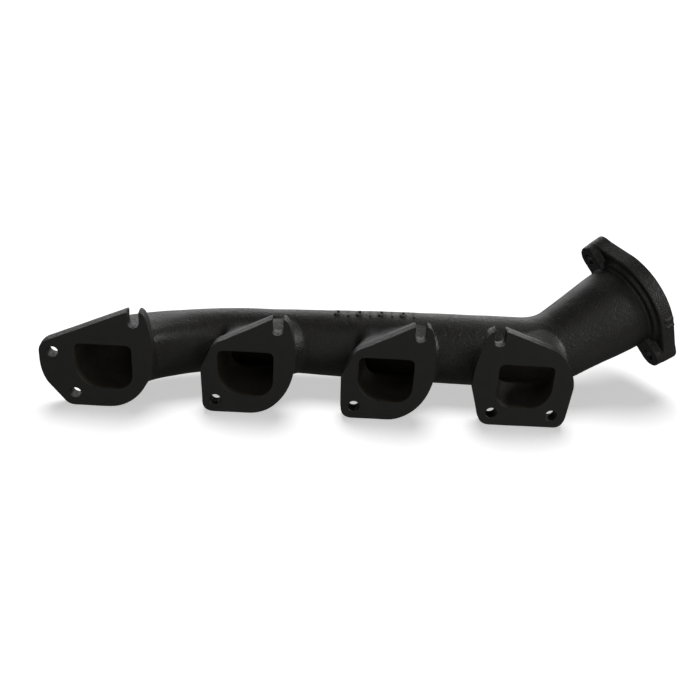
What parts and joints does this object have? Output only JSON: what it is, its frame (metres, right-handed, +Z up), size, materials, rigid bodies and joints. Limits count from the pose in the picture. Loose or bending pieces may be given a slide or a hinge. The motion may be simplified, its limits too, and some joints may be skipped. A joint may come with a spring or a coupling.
{
  "type": "exhaust manifold",
  "caption": "Cast-iron exhaust manifold: D-shaped ports on separate bolt flanges feed a log tube that sweeps up through an elbow to a round, eared outlet flange.",
  "frame": {"origin": "on the plane of the port faces, half way along the port row, at mid height of the ports", "axes": "+X along the port row from the closed end towards the outlet, +Y away from the cylinder head, +Z up as the part is fitted"},
  "size_m": [0.5362, 0.1438, 0.1277],
  "materials": {
    "coated_casting": "satin black heat-resistant coating over a fine sand-cast skin",
    "coated_machined_face": "satin black coating over machined faces and cast edges"
  },
  "bodies": {
    "root": {"port_flange_1": "coated_machined_face", "port_flange_2": "coated_machined_face", "port_flange_3": "coated_machined_face", "port_flange_4": "coated_machined_face", "port_runner_1": "coated_casting", "port_runner_2": "coated_casting", "port_runner_3": "coated_casting", "port_runner_4": "coated_casting", "end_bend": "coated_casting", "log_section_1": "coated_casting", "log_junction_2": "coated_casting", "log_section_2": "coated_casting", "log_junction_3": "coated_casting", "log_section_3": "coated_casting", "log_junction_4": "coated_casting", "outlet_elbow": "coated_casting", "outlet_neck": "coated_casting", "outlet_flange": "coated_machined_face", "foundry_mark_1": "coated_casting", "foundry_mark_2": "coated_casting", "foundry_mark_3": "coated_casting", "foundry_mark_4": "coated_casting", "foundry_mark_5": "coated_casting", "foundry_mark_6": "coated_casting", "foundry_mark_7": "coated_casting", "foundry_mark_8": "coated_casting"}
  },
  "joints": []
}
